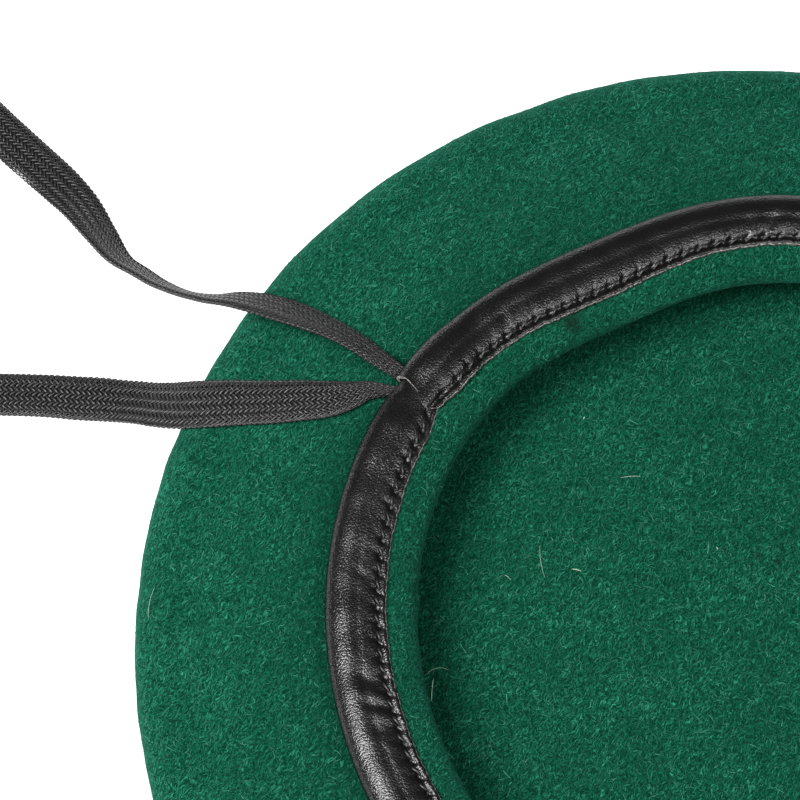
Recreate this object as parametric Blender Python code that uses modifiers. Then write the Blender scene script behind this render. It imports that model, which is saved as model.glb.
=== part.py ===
"""Wool felt beret, lying crown down with its leather bound opening turned up.

Lengths are metres and +Z is up. The origin is the crown's centre on the floor. +Y runs from there to the
back seam, where the leather laps over itself and the two ends of the draw cord come out.
"""

import math

import bmesh
import bpy
import numpy as np

# Driving sizes of the felt
CROWN_RADIUS = 0.1360  # widest radius of the rounded rim
FELT = 0.0022  # wall of the felt
RIM_HEIGHT = 0.0146  # where the rounded rim passes into the flange
RIM_ROUND = 0.0100  # how far the rim's round reaches inwards
BAND_HEIGHT = 0.0282  # top of the leather above the floor

# Driving sizes of the leather, and of the opening that goes with it
LEATHER = 0.0011  # wall of the leather
BINDING_RADIUS = 0.0950  # outer fold of the leather
COLLAR_REACH = 0.0190  # from there in to the bare felt lip, the narrowest place of the opening
BINDING_WIDTH = 0.0127  # leg of leather that shows, from its cut edge to the outer fold
UNDER_LEG = 0.0105  # leg of leather that is hidden, between the collar and the flange
LAP = 0.0090  # how far one end of the leather covers the other
SKIVE = 0.5  # share of the leather that is left where its ends lap
FOLD_ROUND = 0.0040  # how far the leather's outer fold reaches inwards

# Driving sizes of the draw cord
CORD_WIDTH = 0.0104
CORD_THICK = 0.0013
CASING_CORD_WIDTH = 0.0036  # the cord bunched up inside the leather
CASING_CORD_GAP = 0.0060  # opening of the cord's ring at the seam

GAP = 0.0003  # clearance between pieces that touch
SLACK = 0.0010  # clearance between the leather's hidden leg and the flange
SEAM_ANGLE = 90.0  # degrees round from +X
LAP_BLEND = 0.0070  # length over which the leather passes from its lap to its plain section

# Places that follow from the sizes above
LIP_RADIUS = BINDING_RADIUS - COLLAR_REACH
COLLAR_Z = BAND_HEIGHT - LEATHER - GAP - FELT / 2
LIP_BEND = (FELT + LEATHER + GAP + SLACK) / 2
FLANGE_Z = COLLAR_Z - 2 * LIP_BEND
LEG_OFFSET = FELT / 2 + GAP + LEATHER / 2
CORD_CHANNEL = BINDING_RADIUS - LEATHER - 3 * GAP - CASING_CORD_WIDTH / 2
COLLAR_END = CORD_CHANNEL - CASING_CORD_WIDTH / 2 - 2 * GAP

# The flange's middle line: share of the way from the lip to the rim's round, share of its rise
FLANGE_STATIONS = (
    (1.00, 0.00),
    (0.84, 0.31),
    (0.66, 0.58),
    (0.46, 0.80),
    (0.27, 0.93),
    (0.13, 0.99),
)
# The collar's middle line: share of the way from the lip to the collar's edge, drop as a share of the felt
COLLAR_STATIONS = ((0.00, 0.00), (0.45, -0.06), (0.75, 0.10), (1.00, 0.38))
# How the opening departs from a circle: angle, spread in degrees, depth as a share of the binding's radius
OPENING_DENTS = ((57.0, 18.5, -0.040), (205.0, 30.0, 0.014), (283.0, 24.0, -0.024), (345.0, 22.0, 0.012))
# Soft dents of the flange: angle, spread in degrees, depth as a share of the rim's height
FLANGE_DENTS = (
    (12.0, 24.0, -0.07),
    (128.0, 30.0, 0.05),
    (196.0, 22.0, -0.06),
    (248.0, 26.0, 0.06),
    (312.0, 26.0, -0.08),
)
BAND_WAVE = 0.035  # height of the band's two slow waves, as a share of the band's height
BAND_WAVES = 2  # how many times the band rises on its way round
BAND_WAVE_START = 10.0  # degrees round from +X where the first of them begins
RIM_TURN = (-72.0, 66.0)  # degrees that the rim's round takes, from the crown up to the flange
FOLD_TURN = 68.0  # degrees that the leather's outer fold takes to each side

# The free ends of the draw cord. x, y and z of points on its middle line, its lean in degrees, where 0 lies
# flat and 90 stands on edge, and its size there as a share of the flat cord, which is gathered at the seam.
CORD_END_UPPER = (
    (0.0029, 0.0950, 0.0236, 25.0, 0.40),
    (0.0036, 0.1015, 0.0233, 34.0, 0.55),
    (0.0042, 0.1065, 0.0230, 40.0, 0.70),
    (0.0045, 0.1130, 0.0222, 41.0, 0.84),
    (0.0043, 0.1195, 0.0210, 39.0, 0.95),
    (0.0036, 0.1260, 0.0198, 37.0, 1.00),
    (0.0027, 0.1320, 0.0184, 40.0, 1.00),
    (0.0014, 0.1380, 0.0162, 47.0, 1.00),
    (-0.0002, 0.1440, 0.0129, 56.0, 1.00),
    (-0.0011, 0.1505, 0.0097, 60.0, 1.00),
    (-0.0011, 0.1566, 0.0074, 58.0, 1.00),
    (-0.0005, 0.1627, 0.0060, 56.0, 1.00),
    (0.0000, 0.1680, 0.0050, 53.0, 1.00),
    (0.0036, 0.1765, 0.0038, 38.0, 1.00),
    (0.0075, 0.1848, 0.0025, 20.0, 1.00),
    (0.0098, 0.1920, 0.0014, 6.0, 1.00),
    (0.0119, 0.2015, 0.0010, 0.0, 1.00),
    (0.0141, 0.2115, 0.0010, 0.0, 1.00),
    (0.0162, 0.2205, 0.0010, 0.0, 1.00),
    (0.0180, 0.2330, 0.0010, 0.0, 1.00),
)
CORD_END_LOWER = (
    (-0.0018, 0.0944, 0.0227, 0.0, 0.40),
    (-0.0040, 0.0994, 0.0224, 0.0, 0.60),
    (-0.0066, 0.1022, 0.0220, 0.0, 0.80),
    (-0.0094, 0.1060, 0.0214, 0.0, 0.92),
    (-0.0126, 0.1114, 0.0202, 0.0, 1.00),
    (-0.0157, 0.1170, 0.0185, 0.0, 1.00),
    (-0.0186, 0.1228, 0.0167, 0.0, 1.00),
    (-0.0209, 0.1275, 0.0155, 0.0, 1.00),
    (-0.0229, 0.1322, 0.0134, 0.0, 1.00),
    (-0.0243, 0.1366, 0.0107, 0.0, 1.00),
    (-0.0254, 0.1410, 0.0075, 0.0, 1.00),
    (-0.0265, 0.1453, 0.0045, 0.0, 1.00),
    (-0.0278, 0.1498, 0.0023, 0.0, 1.00),
    (-0.0295, 0.1541, 0.0013, 0.0, 1.00),
    (-0.0315, 0.1580, 0.0010, 0.0, 1.00),
    (-0.0346, 0.1640, 0.0010, 0.0, 1.00),
    (-0.0379, 0.1698, 0.0010, 0.0, 1.00),
    (-0.0413, 0.1755, 0.0010, 0.0, 1.00),
    (-0.0450, 0.1820, 0.0010, 0.0, 1.00),
    (-0.0500, 0.1910, 0.0010, 0.0, 1.00),
)

# Fineness
FELT_STEPS = 64
BEND_POINTS = 7  # points on the rim's round and on the lip
FOLD_POINTS = 5  # points on the leather's outer fold
BINDING_STEP = 5.0  # degrees between sections
CORD_POINTS = 20
SPAN_POINTS = 6  # points worked out between two of a route
CORD_SIDES = 8

PARTS = "military_beret"


def clear_scene():
    for thing in list(bpy.data.objects):
        bpy.data.objects.remove(thing, do_unlink=True)


def part_collection():
    made = bpy.data.collections.new(PARTS)
    bpy.context.scene.collection.children.link(made)
    return made


def material(name, colour, roughness):
    made = bpy.data.materials.new(name)
    made.use_nodes = True
    shader = made.node_tree.nodes["Principled BSDF"]
    shader.inputs["Base Color"].default_value = (*colour, 1.0)
    shader.inputs["Roughness"].default_value = roughness
    shader.inputs["Metallic"].default_value = 0.0
    return made


def ease(value, low, high):
    """0 below low, 1 above high, and a smooth step between them."""
    share = np.clip((value - low) / (high - low), 0.0, 1.0)
    return share * share * (3 - 2 * share)


def through(points, per_span):
    """A smooth line through the points: cubic spans whose slope at a point is that of its neighbours."""
    known = np.asarray(points, float)
    padded = np.vstack([2 * known[0] - known[1], known, 2 * known[-1] - known[-2]])
    share = np.linspace(0, 1, per_span, endpoint=False)[:, None]
    spans = []
    for before, start, end, after in zip(padded[:-3], padded[1:-2], padded[2:-1], padded[3:]):
        spans.append(
            start
            + (end - before) * share / 2
            + (2 * before - 5 * start + 4 * end - after) * share**2 / 2
            + (3 * start - before - 3 * end + after) * share**3 / 2
        )
    return np.vstack(spans + [known[-1:]])


def evenly(line, count):
    """The line again, with count points at equal distances along its first three columns."""
    steps = np.linalg.norm(np.diff(line[:, :3], axis=0), axis=1)
    along = np.concatenate([[0.0], np.cumsum(steps)])
    wanted = np.linspace(0, along[-1], count)
    return np.stack([np.interp(wanted, along, column) for column in line.T], 1)


def side_of(line):
    """Unit normals on the right hand of a line of (radius, height) points."""
    run = np.gradient(line, axis=0)
    run /= np.linalg.norm(run, axis=1)[:, None]
    return np.stack([run[:, 1], -run[:, 0]], 1)


def dent(angle, rows):
    """The sum of bell shaped dents round the axis, each row an angle, a spread and a depth."""
    total = np.zeros_like(angle)
    for middle, spread, depth in rows:
        away = (angle - middle + 180.0) % 360.0 - 180.0
        total += depth * np.exp(-((away / spread) ** 2))
    return total


def settle(points):
    """Moves points of the round form to the worn one: the opening's dents go in or out, the band waves up and
    down, and the flange sinks or swells half way between band and rim. The crown and the rim stay."""
    moved = np.array(points, float)
    radius = np.hypot(moved[:, 0], moved[:, 1])
    angle = np.degrees(np.arctan2(moved[:, 1], moved[:, 0]))
    rim = CROWN_RADIUS - RIM_ROUND
    raised = ease(moved[:, 2], 2 * FELT, RIM_HEIGHT)
    band = raised * (1 - ease(radius, BINDING_RADIUS + LEATHER, rim))
    flange = raised * (1 - ((radius - (BINDING_RADIUS + rim) / 2) / ((rim - BINDING_RADIUS) / 2)) ** 2).clip(0, 1)
    wave = np.sin(np.radians(BAND_WAVES * (angle - BAND_WAVE_START))) * BAND_WAVE * BAND_HEIGHT
    push = band * dent(angle, OPENING_DENTS) * BINDING_RADIUS
    scale = 1 + push / np.maximum(radius, LIP_RADIUS / 2)
    moved[:, 0] *= scale
    moved[:, 1] *= scale
    moved[:, 2] += band * wave + flange * dent(angle, FLANGE_DENTS) * RIM_HEIGHT
    return moved


def felt_line():
    """The felt's middle line as (radius, height), from the crown's centre out, round the rim, in over the
    flange, round the lip and out along the collar."""
    rim_radius = CROWN_RADIUS - FELT / 2
    start = rim_radius - RIM_ROUND
    low = FELT / 2
    high = RIM_HEIGHT - FELT / 2
    crown = np.array([(0.0, low), (0.5 * start, low), (start, low)])
    turn = np.radians(np.linspace(*RIM_TURN, BEND_POINTS))
    middle = (low + high) / 2
    rim = np.stack([start + RIM_ROUND * np.cos(turn), middle + (high - low) / 2 * np.sin(turn)], 1)
    bend = LIP_RADIUS + FELT / 2 + LIP_BEND
    stations = np.array(FLANGE_STATIONS)
    flange = np.stack(
        [
            bend + (start - bend) * stations[:, 0],
            high + (FLANGE_Z - high) * stations[:, 1],
        ],
        1,
    )
    turn = np.radians(np.linspace(-90, -270, BEND_POINTS))
    lip = np.stack([bend + LIP_BEND * np.cos(turn), FLANGE_Z + LIP_BEND + LIP_BEND * np.sin(turn)], 1)
    stations = np.array(COLLAR_STATIONS)[1:]
    collar = np.stack([bend + (COLLAR_END - bend) * stations[:, 0], COLLAR_Z - FELT * stations[:, 1]], 1)
    return np.vstack([crown, rim, flange, lip, collar])


def collar_height(radius):
    """Height of the collar's middle line at a radius."""
    bend = LIP_RADIUS + FELT / 2 + LIP_BEND
    stations = np.array(COLLAR_STATIONS)
    return np.interp(radius, bend + (COLLAR_END - bend) * stations[:, 0], COLLAR_Z - FELT * stations[:, 1])


def binding_line():
    """The leather's middle line as (radius, height): over the collar, round the outer fold, and back below it."""
    fold_radius = BINDING_RADIUS - LEATHER / 2
    turn_start = fold_radius - FOLD_ROUND
    cut_edge = BINDING_RADIUS - BINDING_WIDTH
    hidden_edge = BINDING_RADIUS - UNDER_LEG
    upper = np.linspace(cut_edge, turn_start, 4)
    turn = np.radians(np.linspace(FOLD_TURN, -FOLD_TURN, FOLD_POINTS))
    lower = np.linspace(turn_start, hidden_edge, 3)
    end_height = collar_height(COLLAR_END)
    return np.vstack(
        [
            np.stack([upper, collar_height(upper) + LEG_OFFSET], 1),
            np.stack([turn_start + FOLD_ROUND * np.cos(turn), end_height + LEG_OFFSET * np.sin(turn)], 1),
            np.stack([lower, collar_height(lower) - LEG_OFFSET], 1),
        ]
    )


def object_from(name, mesh, shade, home):
    made = bpy.data.objects.new(name, mesh)
    mesh.materials.append(shade)
    mesh.shade_smooth()
    mesh.set_sharp_from_angle(angle=math.radians(50))
    home.objects.link(made)
    return made


def settled(made, home):
    """The object's evaluated mesh, with its points moved by settle, in place of the object."""
    graph = bpy.context.evaluated_depsgraph_get()
    mesh = bpy.data.meshes.new_from_object(made.evaluated_get(graph))
    name = made.name
    old = made.data
    bpy.data.objects.remove(made, do_unlink=True)
    bpy.data.meshes.remove(old)
    places = np.empty(len(mesh.vertices) * 3)
    mesh.vertices.foreach_get("co", places)
    mesh.vertices.foreach_set("co", settle(places.reshape(-1, 3)).ravel())
    mesh.update()
    mesh.name = name
    result = bpy.data.objects.new(name, mesh)
    home.objects.link(result)
    return result


def felt_shell(shade, home):
    """The felt in one piece: the outline of its wall, turned round the axis and then settled."""
    line = felt_line()
    side = side_of(line)
    side[0] = (0.0, -1.0)
    inside = line - side * FELT / 2
    outside = line + side * FELT / 2
    outline = np.vstack([inside, outside[::-1]])
    mesh = bpy.data.meshes.new("felt_shell")
    count = len(outline)
    mesh.from_pydata(
        [(radius, 0.0, height) for radius, height in outline],
        [(at, at + 1) for at in range(count - 1)],
        [],
    )
    made = object_from("felt_shell", mesh, shade, home)
    screw = made.modifiers.new("turn", "SCREW")
    screw.steps = FELT_STEPS
    screw.render_steps = FELT_STEPS
    screw.use_merge_vertices = True
    screw.merge_threshold = 0.0001
    screw.use_smooth_shade = True
    return settled(made, home)


def binding_sections():
    """For each section of the leather: its angle, the shift of its middle line and its wall."""
    lap = math.degrees(LAP / BINDING_RADIUS)
    blend = math.degrees(LAP_BLEND / BINDING_RADIUS)
    under_end = SEAM_ANGLE - lap
    over_end = SEAM_ANGLE + 360.0
    skived = LEATHER * SKIVE
    under_shift = -(LEATHER - skived) / 2
    over_shift = under_shift + skived + GAP
    plain = np.arange(SEAM_ANGLE + 2 * blend, over_end - lap - 2 * blend, BINDING_STEP)
    rows = [
        (under_end, under_shift, skived),
        (SEAM_ANGLE + 0.3 * blend, under_shift, skived),
        (SEAM_ANGLE + 1.1 * blend, 0.0, LEATHER),
        *((angle, 0.0, LEATHER) for angle in plain),
        (over_end - lap - 1.3 * blend, 0.0, LEATHER),
        (over_end - lap - 0.3 * blend, over_shift, skived),
        (over_end, over_shift, skived),
    ]
    return rows


def leather_binding(shade, home):
    """The strip of leather folded round the collar's edge. Sections of its folded wall are carried round the
    axis and joined face to face. Its two ends are thinned, and the second one laps over the first."""
    line = binding_line()
    side = side_of(line)
    loops = []
    for angle, shift, wall in binding_sections():
        outer = line - side * (shift + wall / 2)
        inner = line - side * (shift - wall / 2)
        loop = np.vstack([outer, inner[::-1]])
        turn = math.radians(angle)
        loops.append(np.stack([loop[:, 0] * math.cos(turn), loop[:, 0] * math.sin(turn), loop[:, 1]], 1))
    count = len(loops[0])
    points = settle(np.vstack(loops))
    build = bmesh.new()
    verts = [build.verts.new(point) for point in points]
    for section in range(len(loops) - 1):
        here = section * count
        after = here + count
        for at in range(count):
            beside = (at + 1) % count
            build.faces.new((verts[here + at], verts[after + at], verts[after + beside], verts[here + beside]))
    half = count // 2
    for here in (0, (len(loops) - 1) * count):
        for at in range(half - 1):
            across = count - 1 - at
            build.faces.new((verts[here + at], verts[here + at + 1], verts[here + across - 1], verts[here + across]))
    bmesh.ops.recalc_face_normals(build, faces=build.faces)
    mesh = bpy.data.meshes.new("leather_binding")
    build.to_mesh(mesh)
    build.free()
    return object_from("leather_binding", mesh, shade, home)


def draw_cord(shade, home):
    """The cord inside the leather: a closed wall of oval sections along an open ring, with its ends filled."""
    half_gap = math.degrees(CASING_CORD_GAP / 2 / CORD_CHANNEL)
    angles = np.radians(np.linspace(SEAM_ANGLE + half_gap, SEAM_ANGLE + 360 - half_gap, FELT_STEPS))
    turn = np.radians(np.arange(CORD_SIDES) * 360.0 / CORD_SIDES)
    radius = CORD_CHANNEL + CASING_CORD_WIDTH / 2 * np.cos(turn)
    height = collar_height(COLLAR_END) + (FELT / 2) * np.sin(turn)
    ring = np.stack(
        [
            np.outer(np.cos(angles), radius),
            np.outer(np.sin(angles), radius),
            np.broadcast_to(height, (len(angles), CORD_SIDES)),
        ],
        -1,
    )
    build = bmesh.new()
    verts = [build.verts.new(point) for point in settle(ring.reshape(-1, 3))]
    for section in range(len(angles) - 1):
        here = section * CORD_SIDES
        after = here + CORD_SIDES
        for at in range(CORD_SIDES):
            beside = (at + 1) % CORD_SIDES
            build.faces.new((verts[here + at], verts[here + beside], verts[after + beside], verts[after + at]))
    build.faces.new(verts[:CORD_SIDES])
    build.faces.new(verts[-CORD_SIDES:])
    bmesh.ops.recalc_face_normals(build, faces=build.faces)
    mesh = bpy.data.meshes.new("draw_cord")
    build.to_mesh(mesh)
    build.free()
    return object_from("draw_cord", mesh, shade, home)


def cord_end(name, route, shade, home):
    """A free end of the flat cord: a curve with rounded edges, as wide as the cord, along its route."""
    line = evenly(through(route, SPAN_POINTS), CORD_POINTS)
    curve = bpy.data.curves.new(name, "CURVE")
    curve.dimensions = "3D"
    curve.fill_mode = "FULL"
    curve.twist_mode = "Z_UP"
    curve.bevel_depth = CORD_THICK / 2
    curve.bevel_resolution = 2
    curve.extrude = (CORD_WIDTH - CORD_THICK) / 2
    curve.use_fill_caps = True
    spline = curve.splines.new("POLY")
    spline.points.add(len(line) - 1)
    for point, (x, y, z, lean, share) in zip(spline.points, line):
        point.co = (x, y, z, 1.0)
        point.tilt = math.radians(90.0 + lean)
        point.radius = share
    curve.materials.append(shade)
    made = bpy.data.objects.new(name, curve)
    home.objects.link(made)
    return made


def main():
    clear_scene()
    home = part_collection()
    felt = material("green_felt", (0.012, 0.095, 0.055), 0.95)
    leather = material("black_leather", (0.020, 0.020, 0.021), 0.45)
    braid = material("black_braid", (0.030, 0.030, 0.031), 0.70)
    felt_shell(felt, home)
    leather_binding(leather, home)
    draw_cord(braid, home)
    cord_end("cord_end_upper", CORD_END_UPPER, braid, home)
    cord_end("cord_end_lower", CORD_END_LOWER, braid, home)


main()
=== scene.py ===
"""Military beret in green wool felt, lying crown down with its leather bound opening turned up.

An add-on layout of the beret's maker: felt body, nap, leather binding, stitches, braided draw cord, lint and a
plain studio stage. Lengths are metres. +Z is up, the origin is the crown's centre on the floor, and +Y runs to
the back seam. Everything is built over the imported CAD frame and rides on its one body.
"""

import math

import bpy
import numpy as np
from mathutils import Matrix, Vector


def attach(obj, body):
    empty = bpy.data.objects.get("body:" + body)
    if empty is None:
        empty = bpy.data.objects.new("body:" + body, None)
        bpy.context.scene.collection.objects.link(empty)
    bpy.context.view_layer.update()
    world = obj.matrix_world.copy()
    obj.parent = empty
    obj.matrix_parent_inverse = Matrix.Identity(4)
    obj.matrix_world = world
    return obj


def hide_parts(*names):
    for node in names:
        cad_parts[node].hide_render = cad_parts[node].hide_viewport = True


bl_info = {
    "name": "Military beret",
    "version": (1, 0, 0),
    "blender": (4, 5, 0),
    "location": "View3D > Sidebar > Beret",
    "description": "Builds a wool felt beret with a leather bound opening and a braided draw cord",
    "category": "Add Mesh",
}

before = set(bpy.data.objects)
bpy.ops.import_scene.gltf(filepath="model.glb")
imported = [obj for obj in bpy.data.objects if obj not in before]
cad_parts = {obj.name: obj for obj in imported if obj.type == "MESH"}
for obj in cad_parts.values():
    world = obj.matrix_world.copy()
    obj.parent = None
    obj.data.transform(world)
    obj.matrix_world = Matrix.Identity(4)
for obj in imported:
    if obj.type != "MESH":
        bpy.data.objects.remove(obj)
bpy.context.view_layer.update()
BODY = "root"
UP = (0.0, 0.0, 1.0)
# How far above the floor the lowest fibres and yarns stay
FLOOR_CLEAR = 0.00002

# The felt's middle line between lip and rim: share of the way in, share of its rise
FLANGE_STATIONS = ((1.00, 0.00), (0.84, 0.31), (0.66, 0.57), (0.46, 0.77), (0.27, 0.86), (0.13, 0.86))
# The collar's middle line: share of the way out from the lip, metres below the collar's height
COLLAR_STATIONS = (
    (0.00, 0.00325), (0.10, 0.00232), (0.22, 0.00144), (0.35, 0.00074), (0.48, 0.00030), (0.62, 0.00012),
    (0.80, 0.00022), (1.00, 0.00084),
)
# Where the strip's ends lap and between which angles it is stitched, in degrees
SEAM = 90.0
STITCHED = (92.5, 449.0)
# How far round the lip turns before it climbs to the collar, in degrees
LIP_TURN = 234.0
# The opening's departures from a circle: angle, spread in degrees, share of the binding's radius
OPENING_DENTS = ((57.0, 18.5, -0.040), (205.0, 30.0, 0.014), (283.0, 24.0, -0.024), (345.0, 22.0, 0.012))
# The flange's hollows and swells: angle, spread in degrees, share of the rim's height
FLANGE_DENTS = (
    (12.0, 24.0, -0.07), (128.0, 30.0, 0.05), (196.0, 22.0, -0.06), (248.0, 26.0, 0.06), (312.0, 26.0, -0.08),
)
# Where the leather's visible leg is wider than elsewhere: angle, spread in degrees, share
WIDE_PLACES = ((60.0, 14.0, 0.15), (90.3, 2.4, -0.15), (150.0, 25.0, 0.03), (250.0, 20.0, 0.05))
# Creases across the leather's roll: angle, spread in degrees, depth in metres
CREASES = (
    (31.0, 1.1, 0.00045), (34.5, 0.8, 0.00030), (27.0, 1.4, 0.00035), (74.0, 0.9, 0.00022),
    (118.0, 0.8, 0.00018), (133.0, 1.2, 0.00040), (136.5, 0.8, 0.00030), (140.0, 1.3, 0.00035),
    (171.0, 1.0, 0.00028), (214.0, 1.2, 0.00030), (262.0, 0.9, 0.00032), (301.0, 1.3, 0.00030),
    (338.0, 1.0, 0.00034),
)

# The free ends of the draw cord: x, y, z, lean in degrees, size as a share of the flat cord
CORD_END_UPPER = (
    (0.0029, 0.0950, 0.0236, 25.0, 0.34),
    (0.0036, 0.1015, 0.0233, 34.0, 0.55),
    (0.0042, 0.1065, 0.0230, 40.0, 0.70),
    (0.0045, 0.1130, 0.0222, 41.0, 0.84),
    (0.0043, 0.1195, 0.0210, 39.0, 0.95),
    (0.0036, 0.1260, 0.0198, 37.0, 1.00),
    (0.0027, 0.1320, 0.0184, 40.0, 1.00),
    (0.0014, 0.1380, 0.0162, 47.0, 1.00),
    (-0.0002, 0.1440, 0.0129, 56.0, 1.00),
    (-0.0011, 0.1505, 0.0097, 60.0, 1.00),
    (-0.0011, 0.1566, 0.0074, 58.0, 1.00),
    (-0.0005, 0.1627, 0.0060, 56.0, 1.00),
    (0.0000, 0.1680, 0.0050, 53.0, 1.00),
    (0.0036, 0.1765, 0.0038, 38.0, 1.00),
    (0.0075, 0.1848, 0.0025, 20.0, 1.00),
    (0.0098, 0.1920, 0.0014, 6.0, 1.00),
    (0.0119, 0.2015, 0.0010, 0.0, 1.00),
    (0.0141, 0.2115, 0.0010, 0.0, 1.00),
    (0.0162, 0.2205, 0.0010, 0.0, 1.00),
    (0.0180, 0.2330, 0.0010, 0.0, 1.00),
)
CORD_END_LOWER = (
    (-0.0010, 0.0949, 0.0227, 0.0, 0.20),
    (-0.0036, 0.0997, 0.0224, 0.0, 0.40),
    (-0.0064, 0.1024, 0.0220, 0.0, 0.62),
    (-0.0094, 0.1060, 0.0214, 0.0, 0.82),
    (-0.0126, 0.1114, 0.0202, 0.0, 0.94),
    (-0.0157, 0.1170, 0.0185, 0.0, 1.00),
    (-0.0186, 0.1228, 0.0167, 0.0, 1.05),
    (-0.0211, 0.1274, 0.0155, 0.0, 1.09),
    (-0.0232, 0.1320, 0.0134, 0.0, 1.12),
    (-0.0247, 0.1363, 0.0107, 0.0, 1.12),
    (-0.0257, 0.1408, 0.0075, 0.0, 1.08),
    (-0.0265, 0.1453, 0.0045, 0.0, 1.03),
    (-0.0278, 0.1498, 0.0023, 0.0, 1.02),
    (-0.0295, 0.1541, 0.0013, 0.0, 1.04),
    (-0.0315, 0.1580, 0.0010, 0.0, 1.04),
    (-0.0346, 0.1640, 0.0010, 0.0, 1.01),
    (-0.0379, 0.1698, 0.0010, 0.0, 1.00),
    (-0.0413, 0.1755, 0.0010, 0.0, 1.00),
    (-0.0450, 0.1820, 0.0010, 0.0, 1.00),
    (-0.0500, 0.1910, 0.0010, 0.0, 1.00),
)
# A point of each end inside the leather, just before its exit
BEFORE_UPPER = (0.0018, 0.0905, 0.0243, 20.0, 0.30)
BEFORE_LOWER = (0.0008, 0.0905, 0.0235, 0.0, 0.18)
# Where a cord's net is pulled open: x, y, spread in metres, share of the yarn's width that is lost
LOOSE_UPPER = ((0.0052, 0.2012, 0.0036, 0.78), (0.0040, 0.1950, 0.0026, 0.50))

# Dark spots on the felt: first a real smudge beside the leather, then two spots of painted shadow beside the knots
# inside the crown. Each row: middle, size, share of the dark
STAINS_AND_KNOT_SHADOWS = (
    ((0.0315, 0.0702, 0.0262), 0.0030, 0.75),
    ((0.0150, 0.0120, 0.0030), 0.0011, 0.70),
    ((0.0160, 0.0079, 0.0030), 0.0013, 0.70),
)
# The low knots of wool inside the crown: x, y, spread, height
KNOTS = ((0.0178, 0.0093, 0.0016, 0.0013), (0.0197, 0.0072, 0.0018, 0.0009))
# Loose fibres on the felt: x, y of the middle, length, direction in degrees, bow as a share of the length, width
LINT = (
    (-0.00850, 0.04365, 0.0020, -72.5, 0.02, 0.00018),
    (0.01630, 0.04465, 0.0046, -52.9, 0.03, 0.00009),
    (0.02300, 0.06040, 0.0006, 10.0, 0.00, 0.00022),
    (0.01190, 0.02040, 0.0006, 60.0, 0.00, 0.00022),
    (-0.04395, 0.05695, 0.0048, -46.7, 0.18, 0.00009),
    (-0.05315, 0.05275, 0.0050, 27.0, 0.03, 0.00005),
    (-0.01785, 0.05535, 0.0017, -100.0, 0.03, 0.00010),
    (-0.06610, 0.11445, 0.0072, 23.7, 0.06, 0.00008),
    (-0.01075, 0.05090, 0.0076, 39.1, 0.05, 0.00008),
    (0.05600, -0.04200, 0.0040, 30.0, 0.10, 0.00009),
    (-0.02000, -0.05500, 0.0050, 140.0, 0.12, 0.00009),
    (0.09500, -0.06500, 0.0060, 70.0, 0.10, 0.00008),
)


def ease(value, low, high):
    """0 below low, 1 above high, and the cubic 3t^2 - 2t^3 between them."""
    share = np.clip((value - low) / (high - low), 0.0, 1.0)
    return share * share * (3 - 2 * share)


def bell(value, middle, spread):
    """exp of minus the square of the distance to the middle over the spread."""
    return np.exp(-(((value - middle) / spread) ** 2))


def dent(angle, rows):
    """The sum of bell shaped dents round the axis, each row an angle, a spread and a depth."""
    total = np.zeros_like(angle)
    for middle, spread, depth in rows:
        away = (angle - middle + 180.0) % 360.0 - 180.0
        total += depth * bell(away, 0.0, spread)
    return total


def unit(vectors):
    """The vectors over their own lengths."""
    return vectors / np.maximum(np.linalg.norm(vectors, axis=-1, keepdims=True), 1e-12)


def along(line):
    """Distance from the first point to each point of a line, over its first three columns."""
    steps = np.linalg.norm(np.diff(line[:, :3], axis=0), axis=1)
    return np.concatenate([[0.0], np.cumsum(steps)])


def through(points, step):
    """A smooth line through the points: between two points the cubic Hermite curve over the distance between
    them, whose slope at a point is the distance weighted mean of the slopes beside it. Gives points at equal
    distances of about one step along it."""
    known = np.asarray(points, float)
    place = along(known)
    gap = np.diff(place)[:, None]
    slope = np.diff(known, axis=0) / gap
    inner = (slope[:-1] * gap[1:] + slope[1:] * gap[:-1]) / (gap[:-1] + gap[1:])
    tangent = np.vstack([slope[:1], inner, slope[-1:]])
    count = max(math.ceil(place[-1] / step), 4)
    wanted = np.linspace(0.0, 1.0, count + 1) * place[-1]
    span = np.clip(np.searchsorted(place, wanted, side="right") - 1, 0, len(gap) - 1)
    size = gap[span]
    share = (wanted - place[span])[:, None] / size
    start, end = known[span], known[span + 1]
    return (
        start * (2 * share**3 - 3 * share**2 + 1)
        + size * tangent[span] * (share**3 - 2 * share**2 + share)
        + end * (3 * share**2 - 2 * share**3)
        + size * tangent[span + 1] * (share**3 - share**2)
    )


def side_of(line):
    """Unit normals on the right hand of a line of (radius, height) points."""
    run = unit(np.gradient(line, axis=0))
    return np.stack([run[:, 1], -run[:, 0]], 1)


def waves(places, size, rows):
    """A soft irregular field: the mean of sines of the place along fixed directions, each of its own length."""
    total = np.zeros(places.shape[:-1])
    for x, y, z, phase in rows:
        total += np.sin((places[..., 0] * x + places[..., 1] * y + places[..., 2] * z) / size + phase)
    return total / len(rows)


WAVE_ROWS = (
    (1.0, 0.3, 0.2, 0.0),
    (-0.4, 1.1, 0.3, 1.3),
    (0.8, -0.9, 0.1, 2.9),
    (0.2, 0.7, -0.8, 4.1),
    (1.5, 0.9, 0.5, 5.3),
)


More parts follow.
